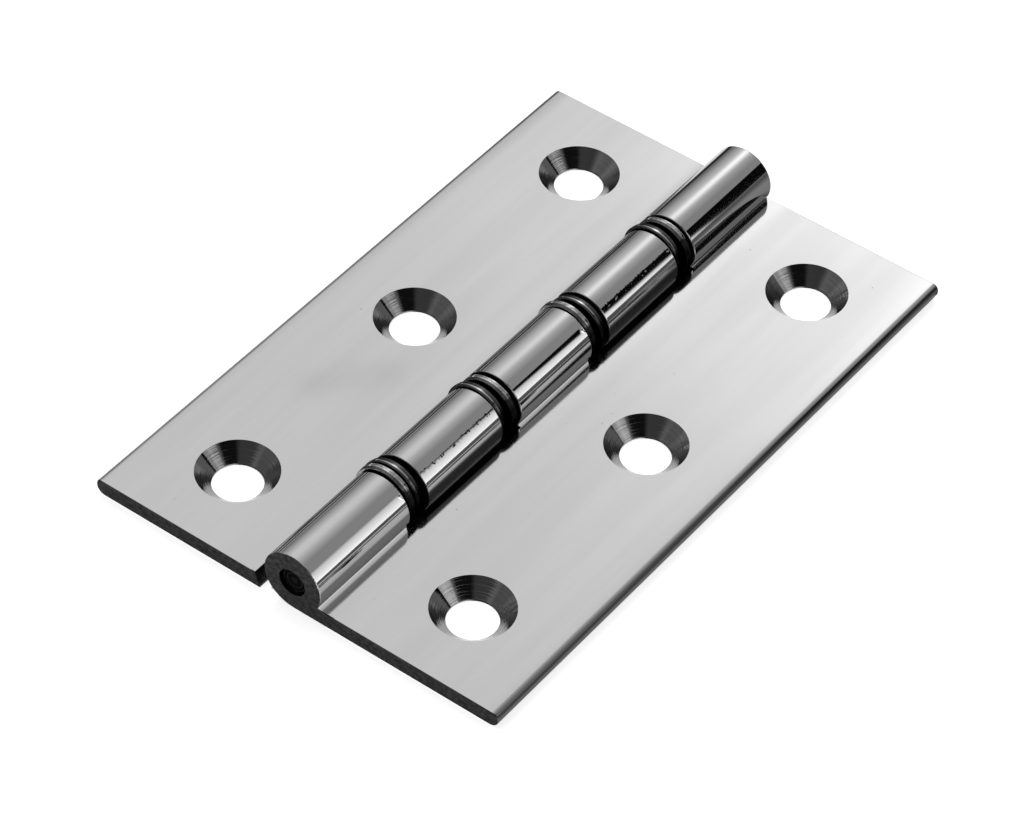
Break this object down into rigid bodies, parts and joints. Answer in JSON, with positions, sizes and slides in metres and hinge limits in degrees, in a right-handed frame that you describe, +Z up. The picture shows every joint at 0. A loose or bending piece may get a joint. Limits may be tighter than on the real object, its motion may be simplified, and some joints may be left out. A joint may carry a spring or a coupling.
{
  "type": "washered butt hinge",
  "caption": "Washered butt hinge: flat leaves with countersunk screw holes, round knuckles interleaved on a steel pin, loose steel washers between them.",
  "frame": {"origin": "under the middle of the pin, on the plane that both leaves lie on when the hinge is open flat", "axes": "+X across the leaves towards the jamb leaf, +Y along the pin, +Z up, away from the backs of the leaves"},
  "size_m": [0.05, 0.076, 0.0071],
  "materials": {
    "plated_leaf": "bright chrome plate over drawn brass, faintly brushed along the pin",
    "washer_steel": "turned and polished steel",
    "pin_steel": "plain steel, cut and dull at its ends"
  },
  "bodies": {
    "jamb": {"jamb_leaf": "plated_leaf", "pin": "pin_steel"},
    "door": {"door_leaf": "plated_leaf"},
    "washer_1": {"washer_1": "washer_steel"},
    "washer_2": {"washer_2": "washer_steel"},
    "washer_3": {"washer_3": "washer_steel"},
    "washer_4": {"washer_4": "washer_steel"},
    "washer_5": {"washer_5": "washer_steel"},
    "washer_6": {"washer_6": "washer_steel"},
    "washer_7": {"washer_7": "washer_steel"},
    "washer_8": {"washer_8": "washer_steel"}
  },
  "joints": [
    {"name": "door_swing", "type": "hinge", "parent": "jamb", "child": "door", "pos_m": [0, 0, 0.0035], "axis": [0, 1, 0], "range_deg": [-90, 180]},
    {"name": "washer_1_turn", "type": "hinge", "parent": "jamb", "child": "washer_1", "pos_m": [0, 0, 0.0035], "axis": [0, 1, 0], "continuous": true},
    {"name": "washer_2_turn", "type": "hinge", "parent": "jamb", "child": "washer_2", "pos_m": [0, 0, 0.0035], "axis": [0, 1, 0], "continuous": true},
    {"name": "washer_3_turn", "type": "hinge", "parent": "jamb", "child": "washer_3", "pos_m": [0, 0, 0.0035], "axis": [0, 1, 0], "continuous": true},
    {"name": "washer_4_turn", "type": "hinge", "parent": "jamb", "child": "washer_4", "pos_m": [0, 0, 0.0035], "axis": [0, 1, 0], "continuous": true},
    {"name": "washer_5_turn", "type": "hinge", "parent": "jamb", "child": "washer_5", "pos_m": [0, 0, 0.0035], "axis": [0, 1, 0], "continuous": true},
    {"name": "washer_6_turn", "type": "hinge", "parent": "jamb", "child": "washer_6", "pos_m": [0, 0, 0.0035], "axis": [0, 1, 0], "continuous": true},
    {"name": "washer_7_turn", "type": "hinge", "parent": "jamb", "child": "washer_7", "pos_m": [0, 0, 0.0035], "axis": [0, 1, 0], "continuous": true},
    {"name": "washer_8_turn", "type": "hinge", "parent": "jamb", "child": "washer_8", "pos_m": [0, 0, 0.0035], "axis": [0, 1, 0], "continuous": true}
  ]
}
